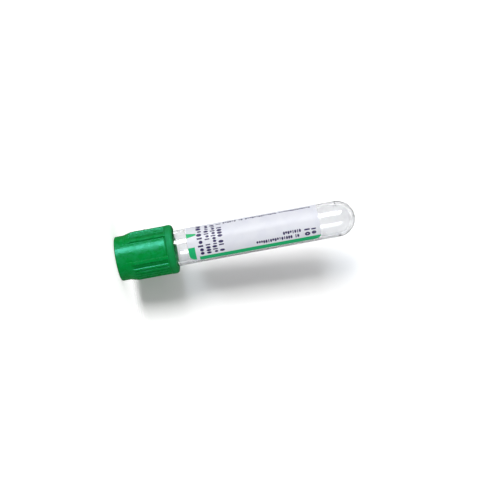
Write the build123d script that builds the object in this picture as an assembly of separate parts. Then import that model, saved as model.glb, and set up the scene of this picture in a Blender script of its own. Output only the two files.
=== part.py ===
from build123d import *
import os
from math import cos, degrees, radians, sin, sqrt

# A blood collection tube stood on the flat top of its shield, with its round end up: a
# clear round-bottomed tube, a film label round it, a rubber stopper in its mouth and a
# plastic shield over both.
#
# Each piece is drawn mouth up on the tube's own axis: z is the distance from the pole of
# the round end, and angles are counted about that axis from the front. Millimetres and
# degrees.

# Tube
TUBE_LENGTH = 75.0
TUBE_RADIUS = 6.3
TUBE_WALL = 1.05
BASE_WALL = 1.3
RIM_ROUND = 0.35
SEAM_HEIGHT = 6.3
SEAM_WIDTH = 0.4
SEAM_PROUD = 0.03
GATE_RADIUS = 1.6
GATE_SINK = 0.1
NIB_RADIUS = 0.35
NIB_HEIGHT = 0.25

# Label
LABEL_FOOT = 13.15
LABEL_LENGTH = 46.5
LABEL_FILM = 0.1
GLUE_LINE = 0.01
WINDOW_WIDTH = 6.0
WINDOW_ANGLE = -87.1
LABEL_CORNER = 2.5

# Stopper
PLUG_DEPTH = 9.6
PLUG_CLEARANCE = 0.02
PLUG_LEAD = 0.5
PLUG_WALL = 2.3
RECESS_DEPTH = 8.8
RECESS_DRAFT = 0.5
SEAT_CLEARANCE = 0.02
FLANGE_OVERHANG = 0.3
FLANGE_THICKNESS = 2.2
FLANGE_ROUND = 0.4
NECK_RADIUS = 3.0
HEAD_RADIUS = 4.1
HEAD_THICKNESS = 2.4
HEAD_ROUND = 0.4
DISH_RADIUS = 2.8
DISH_DEPTH = 0.8

# Shield
SKIRT_OVERLAP = 10.7
SKIRT_GAP = 0.85
PANEL_WALL = 0.75
RIB_STEP = 0.75
RIB_DEPTH = 0.33
COLLAR_STEP = 0.05
COLLAR_HEIGHT = 2.6
COLLAR_ROUND = 1.1
LIP_ROUND = 0.3
RIB_LENGTH = 11.9
RAMP_LENGTH = 3.0
SHOULDER_HEIGHT = 3.1
SHIELD_TOP_ROUND = 0.5
SHELF_THICKNESS = 1.4
SHELF_CLEARANCE = 0.05
WELL_WALL = 0.9
PORT_RADIUS = 3.8
PORT_ROUND = 0.3
TOP_WALL = 1.4
RELIEF_WALL = 0.9

# Ribs: three fields of ribs with a smooth panel between each two
FIELDS = 3
PANEL_ANGLE = 10.4
NARROW_RIBS = 4
RIB_PITCH = 9.1
RIB_CREST = 4.4
BORDER_RIB_ANGLE = 31.2
BORDER_RIB_CREST = 6.5
RIB_FLANK = 1.3

# Places along the axis that pieces share
bore_radius = TUBE_RADIUS - TUBE_WALL
seat = TUBE_LENGTH + SEAT_CLEARANCE
shelf = seat + FLANGE_THICKNESS
shelf_top = shelf + SHELF_THICKNESS
head_top = shelf_top + HEAD_THICKNESS
lip = TUBE_LENGTH - SKIRT_OVERLAP
collar_top = lip + COLLAR_HEIGHT
ramp_foot = collar_top + RIB_LENGTH
ramp_top = ramp_foot + RAMP_LENGTH
shield_top = ramp_top + SHOULDER_HEIGHT

# Radii that follow the tube's
skirt_radius = TUBE_RADIUS + SKIRT_GAP
panel_radius = skirt_radius + PANEL_WALL
crest_radius = panel_radius + RIB_STEP
valley_radius = crest_radius - RIB_DEPTH
collar_radius = crest_radius + COLLAR_STEP
plug_radius = bore_radius - PLUG_CLEARANCE
flange_radius = TUBE_RADIUS + FLANGE_OVERHANG


def turned(*lines):
    """The solid that a closed outline in the XZ plane makes when it is turned about Z."""
    return revolve(make_face(Curve() + list(lines)), Axis.Z)


def drum(radius, low, high):
    """A plain round bar on the axis."""
    return Pos(0, 0, low) * Cylinder(radius, high - low, align=(Align.CENTER, Align.CENTER, Align.MIN))


def edges_at(solid, radius, height):
    """The circular edges of a turned solid with this radius at this height."""
    return [
        e
        for e in solid.edges().filter_by(GeomType.CIRCLE)
        if abs(e.radius - radius) < 1e-4 and abs(e.arc_center.Z - height) < 1e-4
    ]


def round_off(solid, size, *places):
    """Round the edges of a turned solid at these (radius, height) places."""
    return fillet([e for place in places for e in edges_at(solid, *place)], size)


def tube():
    """Clear moulded tube with a round end, a fine seam round it and a gate spot at the pole."""
    gate_edge = TUBE_RADIUS - sqrt(TUBE_RADIUS**2 - GATE_RADIUS**2)
    spot = gate_edge + GATE_SINK
    nib = spot - NIB_HEIGHT
    half = radians(45)
    mid = (TUBE_RADIUS * sin(half), 0, TUBE_RADIUS * (1 - cos(half)))
    shell = turned(
        Line((0, 0, nib), (NIB_RADIUS, 0, nib)),
        Line((NIB_RADIUS, 0, nib), (NIB_RADIUS, 0, spot)),
        Line((NIB_RADIUS, 0, spot), (GATE_RADIUS, 0, spot)),
        Line((GATE_RADIUS, 0, spot), (GATE_RADIUS, 0, gate_edge)),
        ThreePointArc((GATE_RADIUS, 0, gate_edge), mid, (TUBE_RADIUS, 0, TUBE_RADIUS)),
        Line((TUBE_RADIUS, 0, TUBE_RADIUS), (TUBE_RADIUS, 0, TUBE_LENGTH)),
        Line((TUBE_RADIUS, 0, TUBE_LENGTH), (0, 0, TUBE_LENGTH)),
        Line((0, 0, TUBE_LENGTH), (0, 0, nib)),
    )
    seam = drum(TUBE_RADIUS + SEAM_PROUD, SEAM_HEIGHT - SEAM_WIDTH / 2, SEAM_HEIGHT + SEAM_WIDTH / 2)
    floor = BASE_WALL + bore_radius
    cavity = drum(bore_radius, floor, TUBE_LENGTH + 1) + Pos(0, 0, floor) * Sphere(bore_radius)
    body = shell + seam - cavity
    return round_off(body, RIM_ROUND, (TUBE_RADIUS, TUBE_LENGTH), (bore_radius, TUBE_LENGTH))


def label():
    """Film wrapped round the tube with rounded corners, open over a clear window."""
    inner = TUBE_RADIUS + GLUE_LINE
    outer = inner + LABEL_FILM
    top = LABEL_FOOT + LABEL_LENGTH
    film = drum(outer, LABEL_FOOT, top) - drum(inner, LABEL_FOOT - 1, top + 1)
    half = degrees(WINDOW_WIDTH / TUBE_RADIUS) / 2
    reach = 2 * TUBE_RADIUS
    gap = make_face(Polyline((0, 0), polar(reach, half), polar(reach, -half), close=True))
    film -= extrude(Pos(0, 0, LABEL_FOOT - 1) * Rot(0, 0, WINDOW_ANGLE) * gap, LABEL_LENGTH + 2)
    for side in (-1, 1):
        for height, up in ((LABEL_FOOT, -1), (top, 1)):
            film -= corner_cutter(WINDOW_ANGLE + side * half, -side, height, up)
    return film


def corner_cutter(angle, inward, height, up):
    """What rounding a label corner takes off: a square less a quarter disc, cut through radially."""
    size = LABEL_CORNER
    outward = (cos(radians(angle)), sin(radians(angle)), 0)
    along = (-outward[1], outward[0], 0)
    trim = Rectangle(2 * size, 2 * size) - Pos(inward * size, -up * size) * Circle(size)
    return extrude(Plane(origin=(0, 0, height), x_dir=along, z_dir=outward) * trim, 2 * TUBE_RADIUS)


def stopper():
    """Rubber stopper: a hollow plug, a flange on the tube's rim, and a head above the shelf."""
    foot = TUBE_LENGTH - PLUG_DEPTH
    plug = turned(
        Line((0, 0, foot), (plug_radius - PLUG_LEAD, 0, foot)),
        Line((plug_radius - PLUG_LEAD, 0, foot), (plug_radius, 0, foot + 2 * PLUG_LEAD)),
        Line((plug_radius, 0, foot + 2 * PLUG_LEAD), (plug_radius, 0, seat)),
        Line((plug_radius, 0, seat), (0, 0, seat)),
        Line((0, 0, seat), (0, 0, foot)),
    )
    flange = round_off(drum(flange_radius, seat, shelf), FLANGE_ROUND, (flange_radius, shelf))
    neck = drum(NECK_RADIUS, shelf, shelf_top)
    head = round_off(drum(HEAD_RADIUS, shelf_top, head_top), HEAD_ROUND, (HEAD_RADIUS, head_top))
    recess_radius = plug_radius - PLUG_WALL
    recess_top = foot + RECESS_DEPTH
    recess = turned(
        Line((0, 0, foot - 1), (recess_radius, 0, foot - 1)),
        Line((recess_radius, 0, foot - 1), (recess_radius, 0, foot)),
        Line((recess_radius, 0, foot), (recess_radius - RECESS_DRAFT, 0, recess_top)),
        Line((recess_radius - RECESS_DRAFT, 0, recess_top), (0, 0, recess_top)),
        Line((0, 0, recess_top), (0, 0, foot - 1)),
    )
    dish_sphere = (DISH_RADIUS**2 + DISH_DEPTH**2) / (2 * DISH_DEPTH)
    dish = Pos(0, 0, head_top - DISH_DEPTH + dish_sphere) * Sphere(dish_sphere)
    return plug + flange + neck + head - recess - dish


def shield():
    """Ribbed plastic shield that carries the stopper and reaches down over the tube's mouth."""
    band = round_off(drum(collar_radius, lip, collar_top), COLLAR_ROUND, (collar_radius, lip))
    return band + ribbed_body() - shield_hollow()


def ribbed_body():
    """Upper part of the shield: ribs that run out in a ramp below a round shoulder."""
    envelope = turned(
        Line((0, 0, lip + COLLAR_ROUND), (crest_radius, 0, lip + COLLAR_ROUND)),
        Line((crest_radius, 0, lip + COLLAR_ROUND), (crest_radius, 0, ramp_foot)),
        Line((crest_radius, 0, ramp_foot), (panel_radius, 0, ramp_top)),
        Line((panel_radius, 0, ramp_top), (panel_radius, 0, shield_top)),
        Line((panel_radius, 0, shield_top), (0, 0, shield_top)),
        Line((0, 0, shield_top), (0, 0, lip + COLLAR_ROUND)),
    )
    envelope = round_off(envelope, SHIELD_TOP_ROUND, (panel_radius, shield_top))
    core = drum(panel_radius, lip + COLLAR_ROUND, ramp_top + SHOULDER_HEIGHT / 2)
    fields = Sketch() + [
        Rot(0, 0, PANEL_ANGLE + (field + 0.5) * 360 / FIELDS) * rib_field() for field in range(FIELDS)
    ]
    ribs = extrude(Pos(0, 0, lip + COLLAR_ROUND) * fields, ramp_top - lip - COLLAR_ROUND)
    return envelope & (core + ribs + drum(2 * panel_radius, ramp_top, shield_top))


def rib_field():
    """Section through one field of ribs: a toothed sector that reaches inside the panels."""
    narrow = [((i - (NARROW_RIBS - 1) / 2) * RIB_PITCH, RIB_CREST) for i in range(NARROW_RIBS)]
    ribs = [(-BORDER_RIB_ANGLE, BORDER_RIB_CREST), *narrow, (BORDER_RIB_ANGLE, BORDER_RIB_CREST)]
    inside = skirt_radius - PANEL_WALL
    edge = BORDER_RIB_ANGLE + BORDER_RIB_CREST / 2 + RIB_FLANK
    outline = [Line(polar(inside, -edge), polar(panel_radius, -edge))]
    here = polar(panel_radius, -edge)
    foot = None
    for centre, crest in ribs:
        start, end = centre - crest / 2, centre + crest / 2
        if foot is not None:
            outline.append(arc(valley_radius, foot, start - RIB_FLANK))
            here = polar(valley_radius, start - RIB_FLANK)
        outline.append(Line(here, polar(crest_radius, start)))
        outline.append(arc(crest_radius, start, end))
        foot = end + RIB_FLANK
        if centre < BORDER_RIB_ANGLE:
            outline.append(Line(polar(crest_radius, end), polar(valley_radius, foot)))
    outline.append(Line(polar(crest_radius, end), polar(panel_radius, edge)))
    outline.append(Line(polar(panel_radius, edge), polar(inside, edge)))
    outline.append(arc(inside, edge, -edge))
    return make_face(Curve() + outline)


def polar(radius, angle):
    """The point at this radius and angle in the XY plane."""
    return (radius * cos(radians(angle)), radius * sin(radians(angle)))


def arc(radius, start, end):
    """An arc about the axis between two angles."""
    return ThreePointArc(polar(radius, start), polar(radius, (start + end) / 2), polar(radius, end))


def shield_hollow():
    """Everything the shield is open to: skirt, relief, shelf hole, head seat and needle port."""
    skirt = drum(skirt_radius, lip - 1, shelf)
    well_outside = HEAD_RADIUS + SHELF_CLEARANCE + WELL_WALL
    relief_top = shield_top - TOP_WALL
    relief = drum(panel_radius - RELIEF_WALL, shelf - 1, relief_top) - drum(well_outside, shelf, relief_top)
    hole = drum(NECK_RADIUS + SHELF_CLEARANCE, shelf - 1, shelf_top)
    head_seat = drum(HEAD_RADIUS + SHELF_CLEARANCE, shelf_top, head_top + SHELF_CLEARANCE)
    port = drum(PORT_RADIUS, head_top, shield_top)
    flare = turned(
        Line((0, 0, shield_top - PORT_ROUND), (PORT_RADIUS, 0, shield_top - PORT_ROUND)),
        Line((PORT_RADIUS, 0, shield_top - PORT_ROUND), (PORT_RADIUS + PORT_ROUND, 0, shield_top)),
        Line((PORT_RADIUS + PORT_ROUND, 0, shield_top), (0, 0, shield_top)),
        Line((0, 0, shield_top), (0, 0, shield_top - PORT_ROUND)),
    )
    lead = turned(
        Line((0, 0, lip), (skirt_radius + LIP_ROUND, 0, lip)),
        Line((skirt_radius + LIP_ROUND, 0, lip), (skirt_radius, 0, lip + 2 * LIP_ROUND)),
        Line((skirt_radius, 0, lip + 2 * LIP_ROUND), (0, 0, lip + 2 * LIP_ROUND)),
        Line((0, 0, lip + 2 * LIP_ROUND), (0, 0, lip)),
    )
    return skirt + relief + hole + head_seat + port + flare + lead


os.makedirs("parts", exist_ok=True)
mouth_up = {"tube": tube(), "label": label(), "stopper": stopper(), "shield": shield()}

# Turn the front to -Y and the mouth down, and stand the shield's top on z = 0
place = Pos(0, 0, shield_top) * Rot(180, 0, 90)
for name, piece in mouth_up.items():
    export_step(place * piece, f"parts/{name}.step")
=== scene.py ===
"""Looks of a blood collection tube that stands on the flat top of its ribbed shield.

Sizes in the classes are millimetres about the tube's own axis: a station s is the distance
from the pole of the round end towards the mouth, and angles are counted from the front,
positive to the left. `TubeAxis` turns them into the metres of the frame.
"""

import logging
import math
from collections.abc import Mapping, Sequence
from dataclasses import dataclass, field, fields
from enum import Enum
from typing import ClassVar

import bpy
import numpy as np
from mathutils import Matrix, Vector


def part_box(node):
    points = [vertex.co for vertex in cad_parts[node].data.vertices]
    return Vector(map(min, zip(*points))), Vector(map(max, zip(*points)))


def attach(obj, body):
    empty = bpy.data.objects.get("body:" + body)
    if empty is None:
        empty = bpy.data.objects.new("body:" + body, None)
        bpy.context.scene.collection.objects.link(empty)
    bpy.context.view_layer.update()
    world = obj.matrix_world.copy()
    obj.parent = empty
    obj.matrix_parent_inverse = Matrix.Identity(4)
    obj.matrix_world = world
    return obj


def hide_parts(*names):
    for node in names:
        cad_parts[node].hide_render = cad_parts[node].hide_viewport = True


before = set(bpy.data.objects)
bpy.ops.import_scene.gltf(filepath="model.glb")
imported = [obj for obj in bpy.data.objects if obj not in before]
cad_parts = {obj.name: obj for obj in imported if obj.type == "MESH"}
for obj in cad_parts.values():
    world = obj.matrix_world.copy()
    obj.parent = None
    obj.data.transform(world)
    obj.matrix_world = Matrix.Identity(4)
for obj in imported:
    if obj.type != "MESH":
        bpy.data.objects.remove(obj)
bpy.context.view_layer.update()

log = logging.getLogger("blood_tube")

MM = 0.001
SHARP_ANGLE = 40.0
Colour = tuple[float, float, float]
Point = tuple[float, float]


class Body(Enum):
    """The moving bodies of the frame."""

    TUBE = "tube"
    CLOSURE = "closure"


class Slot(Enum):
    """The record's material slots."""

    CLEAR = "clear_plastic"
    FILM = "label_film"
    RUBBER = "stopper_rubber"
    SHIELD = "shield_plastic"


# ---------------------------------------------------------------- node trees


class Value:
    """A node's output socket, on which Python's operators add Math nodes."""

    def __init__(self, tree: "Tree", socket: bpy.types.NodeSocket) -> None:
        """Wraps one socket of a tree."""
        self.tree = tree
        self.socket = socket

    def __add__(self, other: "Value | float") -> "Value":
        """The sum."""
        return self.tree.math("ADD", self, other)

    def __sub__(self, other: "Value | float") -> "Value":
        """The difference."""
        return self.tree.math("SUBTRACT", self, other)

    def __rsub__(self, other: float) -> "Value":
        """A number less this value."""
        return self.tree.math("SUBTRACT", other, self)

    def __mul__(self, other: "Value | float") -> "Value":
        """The product."""
        return self.tree.math("MULTIPLY", self, other)

    def __truediv__(self, other: "Value | float") -> "Value":
        """The quotient."""
        return self.tree.math("DIVIDE", self, other)

    def __rtruediv__(self, other: float) -> "Value":
        """A number divided by this value."""
        return self.tree.math("DIVIDE", other, self)

    def __mod__(self, other: "Value | float") -> "Value":
        """The remainder, which is never negative."""
        return self.tree.math("FLOORED_MODULO", self, other)

    def __abs__(self) -> "Value":
        """The size without its sign."""
        return self.tree.math("ABSOLUTE", self)

    __radd__ = __add__
    __rmul__ = __mul__


Input = Value | float | int | bool | Sequence[float]


class Tree:
    """Adds nodes to one shader or geometry tree."""

    def __init__(self, group: bpy.types.NodeTree) -> None:
        """Empties the tree and keeps it."""
        self.group = group
        group.nodes.clear()

    def node(
        self,
        kind: str,
        settings: Mapping[str, object] | None = None,
        inputs: Mapping[str | int, Input] | None = None,
        output: str | int = 0,
    ) -> Value:
        """Adds one node.

        Args:
            kind: The node's type.
            settings: Its properties, set before its sockets.
            inputs: Values or links for its sockets, by name or number.
            output: The socket that is returned.

        Returns:
            The node's output.
        """
        made = self.group.nodes.new(kind)
        for name, value in (settings or {}).items():
            setattr(made, name, value)
        for name, value in (inputs or {}).items():
            socket = made.inputs[name]
            if isinstance(value, Value):
                self.group.links.new(value.socket, socket)
            else:
                socket.default_value = value
        return Value(self, made.outputs[output] if made.outputs else None)

    def math(self, operation: str, *values: Input) -> Value:
        """One Math node."""
        return self.node("ShaderNodeMath", {"operation": operation}, dict(enumerate(values)))

    def step(self, value: Value, low: Input, high: Input) -> Value:
        """A smooth rise.

        Args:
            value: Where it is read.
            low: Where it is 0.
            high: Where it is 1.

        Returns:
            The height of the rise.
        """
        return self.node(
            "ShaderNodeMapRange",
            {"interpolation_type": "SMOOTHSTEP"},
            {"Value": value, "From Min": low, "From Max": high},
        )

    def either(self, *masks: Value) -> Value:
        """The largest of some masks.

        Args:
            masks: The masks, one or more.

        Returns:
            The mask that is 1 wherever one of them is.
        """
        whole = masks[0]
        for mask in masks[1:]:
            whole = self.math("MAXIMUM", whole, mask)
        return whole

    def mix(self, factor: Input, first: Input, second: Input) -> Value:
        """A blend of two colours.

        Args:
            factor: The share of the second.
            first: A colour or a link.
            second: A colour or a link.

        Returns:
            The blend.
        """
        return self.node(
            "ShaderNodeMix",
            {"data_type": "RGBA"},
            {"Factor": factor, 6: self._rgba(first), 7: self._rgba(second)},
            output=2,
        )

    @staticmethod
    def _rgba(colour: Input) -> Input:
        """A colour with its alpha, or a link as it is."""
        return colour if isinstance(colour, Value) else (*colour, 1.0)


class Shader(Tree):
    """A material's node tree."""

    def __init__(self, name: str) -> None:
        """Makes the material and opens its tree."""
        self.material = bpy.data.materials.new(name)
        self.material.use_nodes = True
        super().__init__(self.material.node_tree)

    def coordinates(self, scale: Sequence[float] = (1.0, 1.0, 1.0)) -> Value:
        """Object coordinates in millimetres, each axis times its scale."""
        place = self.node("ShaderNodeTexCoord", output="Object")
        sizes = tuple(part / MM for part in scale)
        return self.node("ShaderNodeVectorMath", {"operation": "MULTIPLY"}, {0: place, 1: sizes})

    def noise(self, place: Value, scale: float, detail: float = 2.0, rough: float = 0.5) -> Value:
        """Soft noise from 0 to 1."""
        inputs = {"Vector": place, "Scale": scale, "Detail": detail, "Roughness": rough}
        return self.node("ShaderNodeTexNoise", inputs=inputs)

    def bump(self, height: Value, strength: float, distance: float) -> Value:
        """A normal from a height, with its distance in millimetres."""
        inputs = {"Height": height, "Strength": strength, "Distance": distance * MM}
        return self.node("ShaderNodeBump", inputs=inputs)

    def principled(self, **inputs: Input) -> Value:
        """A Principled shader.

        Args:
            inputs: Values, colours or links by socket name, with underscores for spaces.

        Returns:
            The shader.
        """
        named = {name.replace("_", " "): value for name, value in inputs.items()}
        for name, value in named.items():
            if isinstance(value, tuple):
                named[name] = (*value, 1.0)
        return self.node("ShaderNodeBsdfPrincipled", inputs=named)

    def surface(self, shader: Value, volume: Value | None = None) -> bpy.types.Material:
        """Ends the tree.

        Args:
            shader: The finished shader.
            volume: What fills the piece, if anything does.

        Returns:
            The material.
        """
        ends = {"Surface": shader} if volume is None else {"Surface": shader, "Volume": volume}
        self.node("ShaderNodeOutputMaterial", inputs=ends)
        return self.material


# ---------------------------------------------------------------- finishes


@dataclass(frozen=True)
class ClearPlastic:
    """Clear moulded plastic with faint flow lines along the tube."""

    tint: Colour = (0.875, 0.88, 0.892)
    ior: float = 1.57
    smooth: float = 0.03
    rough: float = 0.08
    lamp_tint: Colour = (0.86, 0.88, 0.9)
    absorbed: Colour = (0.42, 0.44, 0.47)
    density: float = 62.0
    flow_scale: float = 0.9
    flow_stretch: float = 0.12
    flow_strength: float = 0.12
    flow_depth: float = 0.05
    haze_scale: float = 0.35

    def make(self) -> bpy.types.Material:
        """Builds the finish.

        Returns:
            The material.
        """
        nodes = Shader("moulded_clear_plastic")
        flow = nodes.noise(nodes.coordinates((1.0, 1.0, self.flow_stretch)), self.flow_scale, 3.0)
        haze = nodes.noise(nodes.coordinates(), self.haze_scale)
        clear = nodes.principled(
            Base_Color=self.tint,
            Roughness=self.smooth + (self.rough - self.smooth) * nodes.step(haze, 0.35, 0.75),
            IOR=self.ior,
            Transmission_Weight=1.0,
            Normal=nodes.bump(flow, self.flow_strength, self.flow_depth),
        )
        lamp = nodes.node("ShaderNodeLightPath", output="Is Shadow Ray")
        passing = nodes.node("ShaderNodeBsdfTransparent", inputs={"Color": (*self.lamp_tint, 1.0)})
        inside = {"Color": (*self.absorbed, 1.0), "Density": self.density}
        volume = nodes.node("ShaderNodeVolumeAbsorption", inputs=inside)
        skin = nodes.node("ShaderNodeMixShader", inputs={0: lamp, 1: clear, 2: passing})
        return nodes.surface(skin, volume)


@dataclass(frozen=True)
class StopperRubber:
    """Dull dark green rubber with a fine grain."""

    colour: Colour = (0.002, 0.045, 0.022)
    worn: Colour = (0.006, 0.07, 0.04)
    cloud_scale: float = 0.6
    grain_scale: float = 9.0
    grain_strength: float = 0.25
    grain_depth: float = 0.03
    roughness: float = 0.48
    roughness_spread: float = 0.14

    def make(self) -> bpy.types.Material:
        """Builds the finish.

        Returns:
            The material.
        """
        nodes = Shader("dark_stopper_rubber")
        place = nodes.coordinates()
        cloud = nodes.noise(place, self.cloud_scale, 3.0)
        grain = nodes.noise(place, self.grain_scale)
        rubber = nodes.principled(
            Base_Color=nodes.mix(nodes.step(cloud, 0.35, 0.75), self.colour, self.worn),
            Roughness=self.roughness + self.roughness_spread * cloud,
            Specular_IOR_Level=0.45,
            Normal=nodes.bump(grain, self.grain_strength, self.grain_depth),
        )
        return nodes.surface(rubber)


@dataclass(frozen=True)
class ShieldPlastic:
    """Satin green plastic with the fine texture of its mould, and painted shade in the ribs' valleys
    and on the collar.
    """

    colour: Colour = (0.0, 0.26, 0.034)
    light: Colour = (0.0, 0.31, 0.055)
    # Dark green painted into the ribs' valleys and onto the collar as painted shade.
    deep: Colour = (0.0, 0.09, 0.008)
    sheen: Colour = (0.22, 1.0, 1.0)
    panel_radius: float = 7.9
    crest_radius: float = 8.65
    ramp_head: float = 6.1
    collar_foot: float = 18.0
    cloud_scale: float = 0.5
    pore_scale: float = 5.5
    drawn_scale: float = 1.1
    drawn_stretch: float = 0.5
    wear_scale: float = 0.45
    roughness: float = 0.16
    worn_roughness: float = 0.18
    pore_roughness: float = 0.08
    collar_roughness: float = 0.38
    # How far the painted shade darkens the valleys and the collar.
    valley_shade_share: float = 0.34
    collar_shade_share: float = 0.1
    texture_strength: float = 0.5
    texture_depth: float = 0.07

    def make(self) -> bpy.types.Material:
        """Builds the finish.

        Returns:
            The material.
        """
        nodes = Shader("green_shield_plastic")
        place = nodes.coordinates()
        cloud = nodes.noise(place, self.cloud_scale, 3.0)
        pores = nodes.noise(place, self.pore_scale, 3.0, 0.6)
        drawn = nodes.noise(nodes.coordinates((1.0, 1.0, self.drawn_stretch)), self.drawn_scale)
        worn = nodes.step(nodes.noise(place, self.wear_scale), 0.42, 0.62)
        roughness = self.roughness + self.worn_roughness * worn + self.pore_roughness * pores
        height = nodes.node("ShaderNodeSeparateXYZ", inputs={0: place}, output="Z")
        collar = nodes.step(height, self.collar_foot - 0.1, self.collar_foot + 0.3)
        # Painted shade: the valleys between the ribs and the collar are mixed towards the dark green.
        painted_shade_share = self.valley_shade_share * self._valley(nodes, place, height) + self.collar_shade_share * collar
        colour = nodes.mix(nodes.step(cloud, 0.3, 0.8), self.colour, self.light)
        plastic = nodes.principled(
            Base_Color=nodes.mix(painted_shade_share, colour, self.deep),
            Roughness=roughness + self.collar_roughness * collar,
            Specular_IOR_Level=0.5,
            Specular_Tint=self.sheen,
            Normal=nodes.bump(pores * 0.5 + drawn * 1.1, self.texture_strength, self.texture_depth),
        )
        return nodes.surface(plastic)

    def _valley(self, nodes: Shader, place: Value, height: Value) -> Value:
        """The mask of the valleys between the ribs, where shade is painted.

        Args:
            nodes: The material's tree.
            place: Object coordinates in millimetres.
            height: Their third part.

        Returns:
            The mask.
        """
        flat = nodes.node("ShaderNodeVectorMath", {"operation": "MULTIPLY"}, {0: place, 1: (1, 1, 0)})
        radius = nodes.node("ShaderNodeVectorMath", {"operation": "LENGTH"}, {0: flat}, "Value")
        valley = nodes.step(radius, self.panel_radius + 0.1, self.panel_radius + 0.3)
        valley = valley * (1 - nodes.step(radius, self.crest_radius - 0.3, self.crest_radius))
        valley = valley * nodes.step(height, self.ramp_head - 1.0, self.ramp_head + 0.6)
        return valley * (1 - nodes.step(height, self.collar_foot - 0.3, self.collar_foot - 0.1))


@dataclass(frozen=True)
class Patch:
    """A rectangle of print: arcs run round the tube, stations along it."""

    arc_low: float
    arc_high: float
    low: float
    high: float


@dataclass(frozen=True)
class DigitRow:
    """A row of plain noughts and ones, with a space here and there.

    Its seed picks the digits, and `low` is the share of digits that are low ones.
    """

    patch: Patch
    pitch: float
    weight: float
    seed: float
    along_tube: bool = False
    low: float = 0.4


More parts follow.
